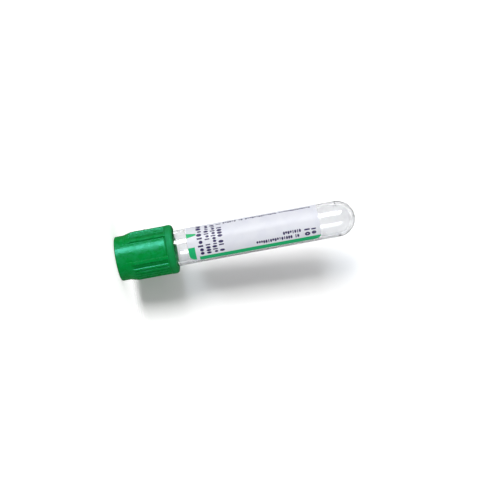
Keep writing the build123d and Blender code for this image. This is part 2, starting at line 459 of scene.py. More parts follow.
@dataclass(frozen=True)
class LabelPrint:
    """Pale satin film with a green stripe and marks and rows of dark violet noughts and ones, and
    painted light on its inner face, which is painted near white.
    """

    film: Colour = (0.8, 0.815, 0.88)
    shade: Colour = (0.765, 0.78, 0.86)
    # Painted light: the inner face is painted near white, lighter than the film, to stand in for light
    # that passes through the film.
    back: Colour = (0.95, 0.95, 0.95)
    green: Colour = (0.0, 0.5, 0.17)
    ink: Colour = (0.035, 0.022, 0.115)
    edge: float = 0.05
    cloud_scale: float = 0.25
    crease_scale: float = 0.45
    crease_stretch: float = 0.4
    grain_scale: float = 7.0
    roughness: float = 0.42
    grain_roughness: float = 0.08
    stripe: Patch = Patch(4.7, 6.6, 12.0, 56.2)
    block: Patch = Patch(0.8, 5.95, 57.3, 59.65)
    block_round: float = 2.25
    wedge_arc: float = -3.7
    wedge_tip: float = 56.2
    wedge_tip_half: float = 0.3
    wedge_growth: float = 0.65
    low_height: float = 0.72
    digit_half: float = 0.44
    nought_share: float = 0.6
    space_share: float = 0.1
    rows: tuple[DigitRow, ...] = (
        DigitRow(Patch(-9.3, 4.2, 54.3, 56.15), 1.35, 0.63, 3.0, low=0.25),
        DigitRow(Patch(-7.6, 4.16, 51.8, 53.45), 0.98, 0.43, 11.0),
        DigitRow(Patch(-7.3, 4.15, 49.5, 51.2), 0.95, 0.44, 5.0),
        DigitRow(Patch(-7.5, 4.15, 47.1, 48.85), 1.05, 0.48, 17.0, low=0.15),
        DigitRow(Patch(2.75, 4.05, 20.0, 36.0), 0.8, 0.34, 23.0, True),
        DigitRow(Patch(1.05, 2.25, 20.0, 26.4), 0.8, 0.34, 29.0, True, 0.15),
        DigitRow(Patch(-7.85, -6.75, 15.2, 46.6), 0.8, 0.36, 31.0, True),
        DigitRow(Patch(0.9, 4.2, 16.95, 18.85), 1.65, 0.54, 43.0, low=0.0),
        DigitRow(Patch(1.2, 3.9, 14.8, 16.4), 1.35, 0.5, 54.0, low=0.0),
    )

    def make(self) -> bpy.types.Material:
        """Builds the finish.

        Returns:
            The material.
        """
        nodes = Shader("printed_label_film")
        sheet = nodes.node("ShaderNodeAttribute", {"attribute_name": "sheet"}, output="Vector")
        arc, station, outside = self._split(nodes, sheet)
        place = nodes.coordinates()
        cloud = nodes.noise(place, self.cloud_scale)
        crease = nodes.noise(nodes.coordinates((1.0, 1.0, self.crease_stretch)), self.crease_scale)
        grain = nodes.noise(place, self.grain_scale)
        green = self._green(nodes, arc, station) * outside
        ink = self._ink(nodes, arc, station) * outside
        colour = nodes.mix(nodes.step(cloud, 0.35, 0.7), self.film, self.shade)
        colour = nodes.mix(green, colour, self.green)
        colour = nodes.mix(ink, colour, self.ink)
        # Painted light: the inner face takes the near-white colour instead of the film and its print.
        colour = nodes.mix(outside, self.back, colour)
        film = nodes.principled(
            Base_Color=colour,
            Roughness=self.roughness + self.grain_roughness * grain,
            Specular_IOR_Level=0.3,
            Normal=nodes.bump(crease * 0.9 + grain * 0.1, 0.3, 0.06),
        )
        return nodes.surface(film)

    @staticmethod
    def _split(nodes: Shader, vector: Value) -> tuple[Value, Value, Value]:
        """A vector's three parts."""
        made = nodes.node("ShaderNodeSeparateXYZ", inputs={0: vector}).socket.node
        return tuple(Value(nodes, made.outputs[i]) for i in range(3))

    def _band(self, nodes: Shader, value: Value, low: Input, high: Input) -> Value:
        """A mask with soft edges.

        Args:
            nodes: The material's tree.
            value: What is masked.
            low: Where the mask starts.
            high: Where it ends.

        Returns:
            The mask, which is 1 between low and high.
        """
        soft = self.edge / 2
        rise = nodes.step(value, low - soft, low + soft)
        return rise * (1 - nodes.step(value, high - soft, high + soft))

    def _patch(self, nodes: Shader, arc: Value, station: Value, patch: Patch) -> Value:
        """The mask of a rectangle."""
        across = self._band(nodes, arc, patch.arc_low, patch.arc_high)
        return across * self._band(nodes, station, patch.low, patch.high)

    def _green(self, nodes: Shader, arc: Value, station: Value) -> Value:
        """The long stripe, the wedge and the block with one round corner.

        Args:
            nodes: The material's tree.
            arc: Millimetres round the tube from its front.
            station: Millimetres along it.

        Returns:
            The mask of the green print.
        """
        wedge_length = self.block.high - self.wedge_tip
        half = self.wedge_tip_half + self.wedge_growth * (station - self.wedge_tip) / wedge_length
        wedge = self._band(nodes, abs(arc - self.wedge_arc) - half, -3.0, 0.0)
        wedge = wedge * nodes.step(station, self.wedge_tip, self.wedge_tip + self.edge)
        out_arc = nodes.math("MAXIMUM", arc - self.block.arc_high + self.block_round, 0.0)
        out_station = nodes.math("MAXIMUM", station - self.block.high + self.block_round, 0.0)
        corner = nodes.math("SQRT", out_arc * out_arc + out_station * out_station)
        cut = nodes.step(corner - self.block_round, -self.edge, 0.0)
        block = self._patch(nodes, arc, station, self.block) * (1 - cut)
        return nodes.either(self._patch(nodes, arc, station, self.stripe), wedge, block)

    def _ink(self, nodes: Shader, arc: Value, station: Value) -> Value:
        """Every row of print."""
        return nodes.either(*(self._row(nodes, arc, station, row) for row in self.rows))

    def _row(self, nodes: Shader, arc: Value, station: Value, row: DigitRow) -> Value:
        """One row of print, whose cells each hold a nought, a one or nothing, tall or low.

        Args:
            nodes: The material's tree.
            arc: Millimetres round the tube from its front.
            station: Millimetres along it.
            row: The row.

        Returns:
            The mask of its ink.
        """
        patch = row.patch
        along, start, up, foot, height = (
            (station, patch.low, arc, patch.arc_low, patch.arc_high - patch.arc_low)
            if row.along_tube
            else (arc, patch.arc_low, station, patch.low, patch.high - patch.low)
        )
        cells = (along - start) / row.pitch
        cell = nodes.math("FLOOR", cells)
        seeded = {"W": cell + row.seed}
        dice = nodes.node("ShaderNodeTexWhiteNoise", {"noise_dimensions": "1D"}, seeded, "Color")
        choice, space, size = self._split(nodes, dice)
        tall = nodes.step(size, row.low - 0.01, row.low)
        half = height / 2 * (self.low_height + (1 - self.low_height) * tall)
        across = (cells - cell - 0.5) * row.pitch
        level = up - foot - half
        wide = self.digit_half * row.pitch
        ring_across, ring_up = across / wide, level / half
        ring = nodes.math("SQRT", ring_across * ring_across + ring_up * ring_up)
        nought = self._band(nodes, ring, 1 - row.weight / wide, 1.0)
        one = self._band(nodes, across, -row.weight / 2, row.weight / 2)
        one = one * (1 - nodes.step(ring_up, 0.95, 1.0))
        is_one = nodes.step(choice, self.nought_share, self.nought_share + 0.01)
        digit = nought + is_one * (one - nought)
        filled = nodes.step(space, self.space_share, self.space_share + 0.01)
        return digit * filled * self._patch(nodes, arc, station, patch)


# ---------------------------------------------------------------- shapes


@dataclass(frozen=True)
class TubeAxis:
    """The tube's own axis in the frame: its pole is up, and its front faces -Y."""

    pole_height: float

    def matrix(self) -> Matrix:
        """What turns axis millimetres into the frame's metres."""
        turn = Matrix(((0, -1, 0), (-1, 0, 0), (0, 0, -1))).to_4x4()
        return Matrix.Translation((0, 0, self.pole_height)) @ turn @ Matrix.Scale(MM, 4)

    def point(self, front: float, left: float, station: float) -> Vector:
        """A place in the frame."""
        return self.matrix() @ Vector((front, left, station))

    def direction(self, front: float, left: float, station: float) -> Vector:
        """A unit direction in the frame."""
        return (self.matrix().to_3x3() @ Vector((front, left, station))).normalized()


@dataclass(frozen=True)
class Corner:
    """A corner of a turned outline and the radius that rounds it."""

    radius: float
    station: float
    rounding: float = 0.0


def rounded(corners: Sequence[Corner], steps: int = 6, guard: float = 0.06) -> list[Point]:
    """Rounds an outline's corners with arcs.

    Args:
        corners: The outline's corners in order.
        steps: The straight steps in each arc.
        guard: How far from each end a straight run gets an extra point, which keeps the
            shading of the arcs off the flats.

    Returns:
        The outline's points as (radius, station).
    """
    runs: list[list[np.ndarray]] = []
    places = [np.array((c.radius, c.station), float) for c in corners]
    for i, (corner, place) in enumerate(zip(corners, places)):
        if corner.rounding <= 0 or i in (0, len(corners) - 1):
            runs.append([place])
            continue
        back, on = places[i - 1] - place, places[i + 1] - place
        back, on = back / np.linalg.norm(back), on / np.linalg.norm(on)
        half = math.acos(float(np.clip(back @ on, -1, 1))) / 2
        centre = place + (back + on) / np.linalg.norm(back + on) * corner.rounding / math.sin(half)
        reach = corner.rounding / math.tan(half)
        start, end = place + back * reach - centre, place + on * reach - centre
        turn = math.pi - 2 * half
        share = np.linspace(0, 1, steps + 1)
        runs.append(
            [
                centre + (math.sin((1 - t) * turn) * start + math.sin(t * turn) * end) / math.sin(turn)
                for t in share
            ]
        )
    points = [runs[0][-1]]
    for before, after in zip(runs, runs[1:]):
        a, b = before[-1], after[0]
        length = float(np.linalg.norm(b - a))
        if length > 4 * guard:
            points += [a + (b - a) * guard / length, b - (b - a) * guard / length]
        points += after
    return [(float(p[0]), float(p[1])) for p in points]


def turned(outline: Sequence[Point], angles: np.ndarray, closed: bool = False) -> "Skin":
    """Turns an outline about the axis.

    Args:
        outline: Points as (radius, station). One on the axis becomes a single vertex.
        angles: The columns' angles in radians, once round.
        closed: Whether the last point joins the first.

    Returns:
        The skin, with its faces outward.
    """
    count = len(angles)
    vertices: list[np.ndarray] = []
    rings: list[list[int]] = []
    total = 0
    for radius, station in outline:
        if radius < 1e-6:
            vertices.append(np.array([[0.0, 0.0, station]]))
            rings.append([total] * count)
            total += 1
        else:
            ring = (radius * np.cos(angles), radius * np.sin(angles), np.full(count, station))
            vertices.append(np.stack(ring, 1))
            rings.append(list(range(total, total + count)))
            total += count
    pairs = list(zip(rings, rings[1:])) + ([(rings[-1], rings[0])] if closed else [])
    faces = []
    for low, high in pairs:
        for i in range(count):
            j = (i + 1) % count
            corners = (low[i], low[j], high[j], high[i])
            face = tuple(dict.fromkeys(corners))
            if len(face) > 2:
                faces.append(face)
    return Skin(np.concatenate(vertices), faces).outward()


@dataclass
class Skin:
    """A mesh in axis millimetres before it becomes an object."""

    vertices: np.ndarray
    faces: list[tuple[int, ...]]

    def outward(self) -> "Skin":
        """Turns the faces of a closed skin outward.

        Returns:
            The same skin.
        """
        fans = np.array([(f[0], f[i], f[i + 1]) for f in self.faces for i in range(1, len(f) - 1)])
        a, b, c = (self.vertices[fans[:, i]] for i in range(3))
        if float(np.einsum("ij,ij->i", a, np.cross(b, c)).sum()) < 0:
            self.faces = [face[::-1] for face in self.faces]
        return self

    def mesh(self, name: str) -> bpy.types.Mesh:
        """Builds the mesh.

        Args:
            name: The mesh's name.

        Returns:
            The smooth mesh, still in axis millimetres.
        """
        mesh = bpy.data.meshes.new(name)
        mesh.from_pydata(self.vertices.tolist(), [], self.faces)
        mesh.shade_smooth()
        return mesh

    def set_point_values(self, mesh: bpy.types.Mesh, name: str, values: np.ndarray) -> None:
        """Gives each vertex a number, or a vector if the values have three columns.

        Args:
            mesh: The mesh made from this skin.
            name: The attribute's name.
            values: One row for each vertex.
        """
        kind, key = ("FLOAT_VECTOR", "vector") if values.ndim == 2 else ("FLOAT", "value")
        attribute = mesh.attributes.new(name, kind, "POINT")
        attribute.data.foreach_set(key, values.astype(np.float32).ravel())


@dataclass
class Piece:
    """One visible piece: its name, body, slot and the CAD node that it stands for."""

    name: str
    body: Body
    slot: Slot
    node: str

    def place(
        self, mesh: bpy.types.Mesh, axis: TubeAxis, material: bpy.types.Material
    ) -> bpy.types.Object:
        """Args:
            mesh: The mesh in axis millimetres.
            axis: The tube's axis.
            material: The finish of every face.

        Returns:
            The piece's object.
        """
        mesh.transform(axis.matrix())
        mesh.materials.clear()
        mesh.materials.append(material)
        mesh.set_sharp_from_angle(angle=math.radians(SHARP_ANGLE))
        obj = bpy.data.objects.new(self.name, mesh)
        bpy.context.scene.collection.objects.link(obj)
        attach(obj, self.body.value)
        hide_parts(self.node)
        log.info("%s: %d faces", self.name, len(mesh.polygons))
        return obj


def full_turn(count: int) -> np.ndarray:
    """Evenly spaced angles once round, in radians."""
    return np.linspace(0, 2 * math.pi, count, endpoint=False)


def smooth_step(value: np.ndarray | float, low: float, high: float) -> np.ndarray | float:
    """A smooth rise.

    Args:
        value: Where it is read, one number or many.
        low: Where it is 0.
        high: Where it is 1.

    Returns:
        The height of the rise.
    """
    share = np.clip((value - low) / (high - low), 0, 1)
    return share * share * (3 - 2 * share)


# ---------------------------------------------------------------- pieces


@dataclass
class ClearTube:
    """The clear moulded tube."""

    length: float = 75.0
    radius: float = 6.3
    wall: float = 1.05
    base_wall: float = 1.3
    rim_round: float = 0.35
    seam_station: float = 6.3
    seam_width: float = 0.45
    seam_proud: float = 0.08
    gate_radius: float = 1.6
    gate_sink: float = 0.1
    nib_radius: float = 0.35
    nib_height: float = 0.25
    columns: int = 192
    piece: Piece = field(default_factory=lambda: Piece("clear_tube", Body.TUBE, Slot.CLEAR, "tube"))

    @property
    def bore(self) -> float:
        """The bore's radius."""
        return self.radius - self.wall

    def outline(self) -> list[Point]:
        """The wall's section from the outer pole to the inner pole."""
        return [*self._dome(), *self._seam(), *self._rim(), *self._inner_dome()]

    def _dome(self) -> list[Point]:
        """The round end with its sunk gate spot and nib.

        Returns:
            The outer points from the pole to the seam, closest together at the nib and gate.
        """
        nib, plain, edge = np.linspace(0, 0.6, 13), np.linspace(0.7, 1.3, 4), np.linspace(1.4, 1.8, 9)
        slope = np.arcsin(np.concatenate((nib, plain, edge)) / self.radius)
        seam_foot = self.seam_station - self.seam_width / 2
        end = math.acos(max(1 - seam_foot / self.radius, 0.0))
        turn = np.concatenate((slope, np.linspace(slope[-1], end, 40)[1:-1]))
        radius = self.radius * np.sin(turn)
        gate_soft, nib_soft = 0.12, 0.1
        sunk = 1 - smooth_step(radius, self.gate_radius - gate_soft, self.gate_radius + gate_soft)
        raised = 1 - smooth_step(radius, self.nib_radius - nib_soft, self.nib_radius + nib_soft)
        station = self.radius * (1 - np.cos(turn)) + self.gate_sink * sunk - self.nib_height * raised
        return list(zip(radius.tolist(), station.tolist()))

    def _seam(self) -> list[Point]:
        """The fine bead where the mould's halves meet.

        Returns:
            Its points, which follow the round end below.
        """
        share = np.linspace(-1, 1, 13)
        station = self.seam_station + share * self.seam_width / 2
        short = self.radius - np.minimum(station, self.radius)
        base = np.sqrt(self.radius**2 - short**2)
        radius = base + self.seam_proud * np.cos(share * math.pi / 2) ** 2
        return list(zip(radius.tolist(), station.tolist()))

    def _rim(self) -> list[Point]:
        """The straight walls and the rounded rim between them.

        Returns:
            Their points, outside first.
        """
        corners = [
            Corner(self.radius, self.seam_station + self.seam_width),
            Corner(self.radius, self.length, self.rim_round),
            Corner(self.bore, self.length, self.rim_round),
            Corner(self.bore, self.base_wall + self.bore + 0.05),
        ]
        return rounded(corners)

    def _inner_dome(self) -> list[Point]:
        """The round bottom of the bore.

        Returns:
            Its points, down to the axis.
        """
        turn = np.linspace(math.pi / 2, 0, 40)
        station = self.base_wall + self.bore * (1 - np.cos(turn))
        radius = self.bore * np.sin(turn)
        radius[-1] = 0.0
        return list(zip(radius.tolist(), station.tolist()))

    def build(self, axis: TubeAxis, finish: ClearPlastic) -> bpy.types.Object:
        """Makes the tube.

        Args:
            axis: The tube's axis.
            finish: Its plastic.

        Returns:
            The piece's object.
        """
        skin = turned(self.outline(), full_turn(self.columns))
        return self.piece.place(skin.mesh(self.piece.name), axis, finish.make())


@dataclass
class FilmLabel:
    """The film label, open over a clear window, with rounded corners."""

    foot: float = 13.15
    length: float = 46.5
    film: float = 0.1
    glue_line: float = 0.01
    window_width: float = 6.0
    window_angle: float = -87.1
    corner: float = 2.5
    corner_columns: int = 16
    columns: int = 140
    rows: int = 16
    piece: Piece = field(default_factory=lambda: Piece("film_label", Body.TUBE, Slot.FILM, "label"))

    def build(self, axis: TubeAxis, tube: ClearTube, finish: LabelPrint) -> bpy.types.Object:
        """Makes the label. Its `sheet` attribute holds arc, station and 1 on the outside.

        Args:
            axis: The tube's axis.
            tube: The tube that it is stuck on.
            finish: Its film and print.

        Returns:
            The piece's object.
        """
        inner = tube.radius + self.glue_line
        outer = inner + self.film
        half = self.window_width / tube.radius / 2
        window = math.radians(self.window_angle)
        whole = (2 * math.pi - 2 * half) * outer
        bend = np.linspace(0, math.pi / 2, self.corner_columns + 1)
        near = self.corner * (1 - np.cos(bend))
        middle = np.linspace(self.corner, whole - self.corner, self.columns)
        arcs = np.concatenate((near[:-1], middle, (whole - near[::-1])[1:]))
        inset = np.minimum(arcs, whole - arcs)
        into_corner = np.maximum(self.corner - inset, 0)
        short = self.corner - np.sqrt(np.maximum(self.corner**2 - into_corner**2, 0))
        angles = window + half + arcs / outer
        share = np.linspace(0, 1, self.rows)
        low, high = self.foot + short, self.foot + self.length - short
        station = low[:, None] + (high - low)[:, None] * share
        turn = np.repeat(angles[:, None], self.rows, 1)
        sides = [
            np.stack((radius * np.cos(turn), radius * np.sin(turn), station), -1).reshape(-1, 3)
            for radius in (outer, inner)
        ]
        skin = Skin(np.concatenate(sides), self._faces(len(arcs))).outward()
        mesh = skin.mesh(self.piece.name)
        front_arc = (-turn * outer).ravel()
        sheet = np.stack((front_arc, station.ravel(), np.ones(front_arc.size)), 1)
        inside = sheet * (1, 1, 0)
        skin.set_point_values(mesh, "sheet", np.concatenate((sheet, inside)))
        return self.piece.place(mesh, axis, finish.make())

    def _faces(self, count: int) -> list[tuple[int, ...]]:
        """Both sides and the four edges of the label's grid.

        Args:
            count: The grid's columns.

        Returns:
            The faces, with the outer side's vertices first.
        """
        rows, size = self.rows, count * self.rows
        faces = []
        for i in range(count - 1):
            for j in range(rows - 1):
                a, b = i * rows + j, (i + 1) * rows + j
                faces += [(a, b, b + 1, a + 1), (size + a, size + a + 1, size + b + 1, size + b)]
            for j, flip in ((0, True), (rows - 1, False)):
                a, b = i * rows + j, (i + 1) * rows + j
                edge = (a, b, size + b, size + a)
                faces.append(edge[::-1] if flip else edge)
        for i, flip in ((0, False), (count - 1, True)):
            for j in range(rows - 1):
                a = i * rows + j
                edge = (a, a + 1, size + a + 1, size + a)
                faces.append(edge[::-1] if flip else edge)
        return faces


@dataclass
class RubberStopper:
    """The rubber stopper: a hollow plug, a flange, a neck and a head with a dish."""

    plug_depth: float = 9.6
    plug_radius: float = 5.23
    plug_wall: float = 2.3
    recess_depth: float = 8.8
    recess_draft: float = 0.5
    lead: float = 0.5
    flange_radius: float = 6.6
    flange: float = 2.2
    neck_radius: float = 3.0
    neck: float = 1.4
    head_radius: float = 4.1
    head: float = 2.4
    dish_radius: float = 2.8
    dish_depth: float = 0.8
    seat_clearance: float = 0.02
    columns: int = 144
    piece: Piece = field(
        default_factory=lambda: Piece("rubber_stopper", Body.CLOSURE, Slot.RUBBER, "stopper")
    )

    def build(self, axis: TubeAxis, tube: ClearTube, finish: StopperRubber) -> bpy.types.Object:
        """Makes the stopper.

        Args:
            axis: The tube's axis.
            tube: The tube whose mouth it closes.
            finish: Its rubber.

        Returns:
            The piece's object.
        """
        foot = tube.length - self.plug_depth
        seat = tube.length + self.seat_clearance
        shelf = seat + self.flange
        head_foot = shelf + self.neck
        top = head_foot + self.head
        recess = self.plug_radius - self.plug_wall
        dish = (self.dish_radius**2 + self.dish_depth**2) / (2 * self.dish_depth)
        corners = [
            Corner(0, foot + self.recess_depth),
            Corner(recess - self.recess_draft, foot + self.recess_depth, 0.4),
            Corner(recess, foot, 0.15),
            Corner(self.plug_radius - self.lead, foot, 0.15),
            Corner(self.plug_radius, foot + 2 * self.lead, 0.3),
            Corner(self.plug_radius, seat, 0.05),
            Corner(self.flange_radius, seat, 0.1),
            Corner(self.flange_radius, shelf, 0.4),
            Corner(self.neck_radius, shelf, 0.1),
            Corner(self.neck_radius, head_foot, 0.1),
            Corner(self.head_radius, head_foot, 0.15),
            Corner(self.head_radius, top, 0.4),
            Corner(self.dish_radius, top, 0.08),
        ]
        outline = rounded(corners)[:-1]
        turn = np.linspace(math.asin(self.dish_radius / dish), 0, 16)
        bowl = top - self.dish_depth + dish * (1 - np.cos(turn))
        outline += list(zip((dish * np.sin(turn)).tolist(), bowl.tolist()))
        outline[-1] = (0.0, outline[-1][1])
        skin = turned(outline, full_turn(self.columns))
        return self.piece.place(skin.mesh(self.piece.name), axis, finish.make())


@dataclass
class RibRule:
    """Three fields of ribs with a smooth panel between each two. Angles are in degrees."""

    fields: float = 3.0
    panel_angle: float = 10.4
    pitch: float = 9.1
    narrow_reach: float = 18.2
    crest: float = 4.4
    border_angle: float = 31.2
    border_crest: float = 6.5
    flank: float = 1.3
    panel_radius: float = 7.9
    valley_radius: float = 8.32
    crest_radius: float = 8.65
    ramp_foot: float = 78.8
    ramp_top: float = 81.8
    narrow_ribs: ClassVar[int] = 4
    flank_lead: ClassVar[float] = -0.5
    flank_tail: ClassVar[float] = 0.35
    envelope_blend: ClassVar[float] = 0.12
    plain_step: ClassVar[float] = 1.8
    least_step: ClassVar[float] = 0.12

    def columns(self) -> np.ndarray:
        """Places the mesh's columns, close together on the ribs' flanks.

        Returns:
            Their angles in radians, once round.
        """
        sector = 360 / self.fields
        centres = [(i - (self.narrow_ribs - 1) / 2) * self.pitch for i in range(self.narrow_ribs)]
        ribs = [(c, self.crest) for c in centres]
        ribs += [(side * self.border_angle, self.border_crest) for side in (-1, 1)]
        marks = {-sector / 2}
        for centre, crest in ribs:
            for side in (-1, 1):
                edge = centre + side * crest / 2
                flank = np.linspace(-0.7, self.flank + 0.5, 8)
                marks.update((edge + side * flank).round(3).tolist())
            flat = crest / 2 - 0.9
            marks.update(np.linspace(centre - flat, centre + flat, 4).round(3).tolist())
        marks.update(np.arange(-sector / 2, sector / 2, self.plain_step).round(3).tolist())
        kept: list[float] = []
        for mark in sorted(m for m in marks if m < sector / 2 - 0.2):
            if not kept or mark - kept[-1] > self.least_step:
                kept.append(mark)
        starts = self.panel_angle + sector / 2 + sector * np.arange(int(self.fields))
        return np.radians(np.concatenate([start + np.array(kept) for start in starts]))

    def modifier_inputs(self) -> dict[str, float]:
        """The named inputs of the geometry tree, which are the sizes above under their own names."""
        return {size.name.replace("_", " ").title(): getattr(self, size.name) for size in fields(self)}

    def tree(self, material: bpy.types.Material) -> bpy.types.NodeTree:
        """The geometry tree that raises the ribs on a turned blank.

        Args:
            material: The finish that the tree sets.

        Returns:
            The node group. The blank's `ribbed` attribute says how far each point follows the rule.
        """
        group = bpy.data.node_groups.new("shield_ribs", "GeometryNodeTree")
        face = group.interface
        face.new_socket("Geometry", in_out="INPUT", socket_type="NodeSocketGeometry")
        face.new_socket("Geometry", in_out="OUTPUT", socket_type="NodeSocketGeometry")
        for name, value in self.modifier_inputs().items():
            face.new_socket(name, in_out="INPUT", socket_type="NodeSocketFloat").default_value = value
        nodes = Tree(group)
        entry = nodes.node("NodeGroupInput").socket.node
        given = {socket.name: Value(nodes, socket) for socket in entry.outputs if socket.name}
        position = nodes.node("GeometryNodeInputPosition")
        parts = nodes.node("ShaderNodeSeparateXYZ", inputs={0: position}).socket.node
        across, aside, station = (Value(nodes, socket) for socket in parts.outputs)
        radius = nodes.math("SQRT", across * across + aside * aside)
        target = self._target(nodes, given, nodes.math("ARCTAN2", aside, across), station)
        ribbed = nodes.node(
            "GeometryNodeInputNamedAttribute", {"data_type": "FLOAT"}, {"Name": "ribbed"}, "Attribute"
        )
        grown = 1 + ribbed * (target / radius - 1)
        moved = nodes.node(
            "ShaderNodeCombineXYZ", inputs={0: across * grown, 1: aside * grown, 2: station}
        )
        shaped = nodes.node(
            "GeometryNodeSetPosition", inputs={"Geometry": given["Geometry"], "Position": moved}
        )
        real = nodes.node("GeometryNodeRealizeInstances", inputs={0: shaped})
        dressed = nodes.node("GeometryNodeSetMaterial", inputs={0: real, "Material": material})
        nodes.node("NodeGroupOutput", inputs={0: dressed})
        return group

    def _target(self, nodes: Tree, given: Mapping[str, Value], turn: Value, station: Value) -> Value:
        """The rule itself.

        Args:
            nodes: The geometry tree.
            given: Its named inputs.
            turn: The angle about the axis in radians.
            station: The place along the axis in millimetres.

        Returns:
            The ribbed radius there.
        """
        sector = 360 / given["Fields"]
        degrees = turn * (180 / math.pi)
        off = abs((degrees - given["Panel Angle"]) % sector - sector / 2)
        soft_in, soft_out = self.flank_lead, given["Flank"] + self.flank_tail
        narrow = abs(off % given["Pitch"] - given["Pitch"] / 2) - given["Crest"] / 2
        narrow_rib = (1 - nodes.step(narrow, soft_in, soft_out)) * (
            1 - nodes.step(off, given["Narrow Reach"] - 0.1, given["Narrow Reach"])
        )
        border = abs(off - given["Border Angle"]) - given["Border Crest"] / 2
        border_rib = 1 - nodes.step(border, soft_in, soft_out)
        last = off - given["Border Angle"] - given["Border Crest"] / 2
        in_field = 1 - nodes.step(last, soft_in, soft_out)
        rib = nodes.either(narrow_rib, border_rib)
        section = (
            given["Panel Radius"]
            + in_field * (given["Valley Radius"] - given["Panel Radius"])
            + rib * in_field * (given["Crest Radius"] - given["Valley Radius"])
        )
        share = (station - given["Ramp Foot"]) / (given["Ramp Top"] - given["Ramp Foot"])
        slope = nodes.math("MINIMUM", nodes.math("MAXIMUM", share, 0.0), 1.0)
        envelope = given["Crest Radius"] - slope * (given["Crest Radius"] - given["Panel Radius"])
        return nodes.math("SMOOTH_MIN", section, envelope, self.envelope_blend)


